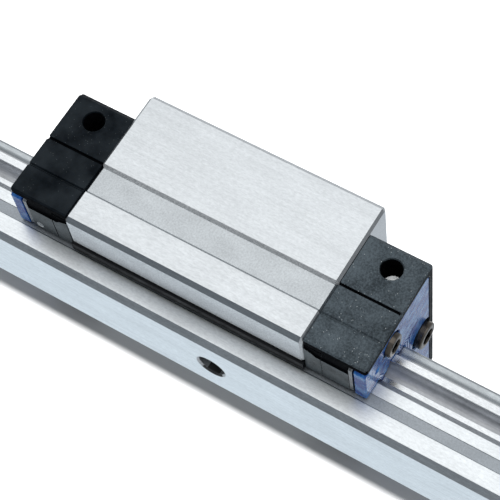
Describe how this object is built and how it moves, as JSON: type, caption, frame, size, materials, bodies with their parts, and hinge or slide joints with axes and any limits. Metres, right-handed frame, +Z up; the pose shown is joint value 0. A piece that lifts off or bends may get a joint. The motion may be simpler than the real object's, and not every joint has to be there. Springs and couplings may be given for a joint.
{
  "type": "linear guide carriage",
  "caption": "Square-type linear guide carriage with recirculating balls, plastic end caps and wiping end seals, on a short length of its profiled rail.",
  "frame": {"origin": "middle of the rail's length and width on its underside", "axes": "+X along the rail, +Z up from the rail's underside to the carriage's mounting face, +Y across the rail"},
  "size_m": [0.16, 0.034, 0.028],
  "materials": {
    "rail_steel": "ground, bright",
    "ground_steel": "ground on the flanks and top, matt blasted band on the sides",
    "black_plastic": "moulded, fine texture",
    "guide_plastic": "moulded, satin",
    "blue_rubber": "moulded, glossy with oil",
    "black_rubber": "moulded, matt",
    "plate_steel": "cold rolled",
    "screw_steel": "dark oxide with wear",
    "ball_steel": "polished"
  },
  "bodies": {
    "rail": {"rail": "rail_steel"},
    "carriage": {"ball_circuit_lower_far": "ball_steel", "ball_circuit_lower_near": "ball_steel", "ball_circuit_upper_far": "ball_steel", "ball_circuit_upper_near": "ball_steel", "bottom_seal_far": "black_rubber", "bottom_seal_near": "black_rubber", "cap_screw_left_far": "screw_steel", "cap_screw_left_near": "screw_steel", "cap_screw_right_far": "screw_steel", "cap_screw_right_near": "screw_steel", "carriage_block": "ground_steel", "end_cap_left": "black_plastic", "end_cap_right": "black_plastic", "end_seal_left": "blue_rubber", "end_seal_right": "blue_rubber", "lower_retainer_far": "plate_steel", "lower_retainer_near": "plate_steel", "port_screw_left": "screw_steel", "port_screw_right": "screw_steel", "return_guide_left_far": "guide_plastic", "return_guide_left_near": "guide_plastic", "return_guide_right_far": "guide_plastic", "return_guide_right_near": "guide_plastic", "seal_plate_left": "plate_steel", "seal_plate_right": "plate_steel", "upper_retainer": "plate_steel"}
  },
  "joints": [
    {"name": "carriage_slide", "type": "slide", "parent": "rail", "child": "carriage", "axis": [1, 0, 0], "range_m": [-0.043, 0.054]}
  ]
}
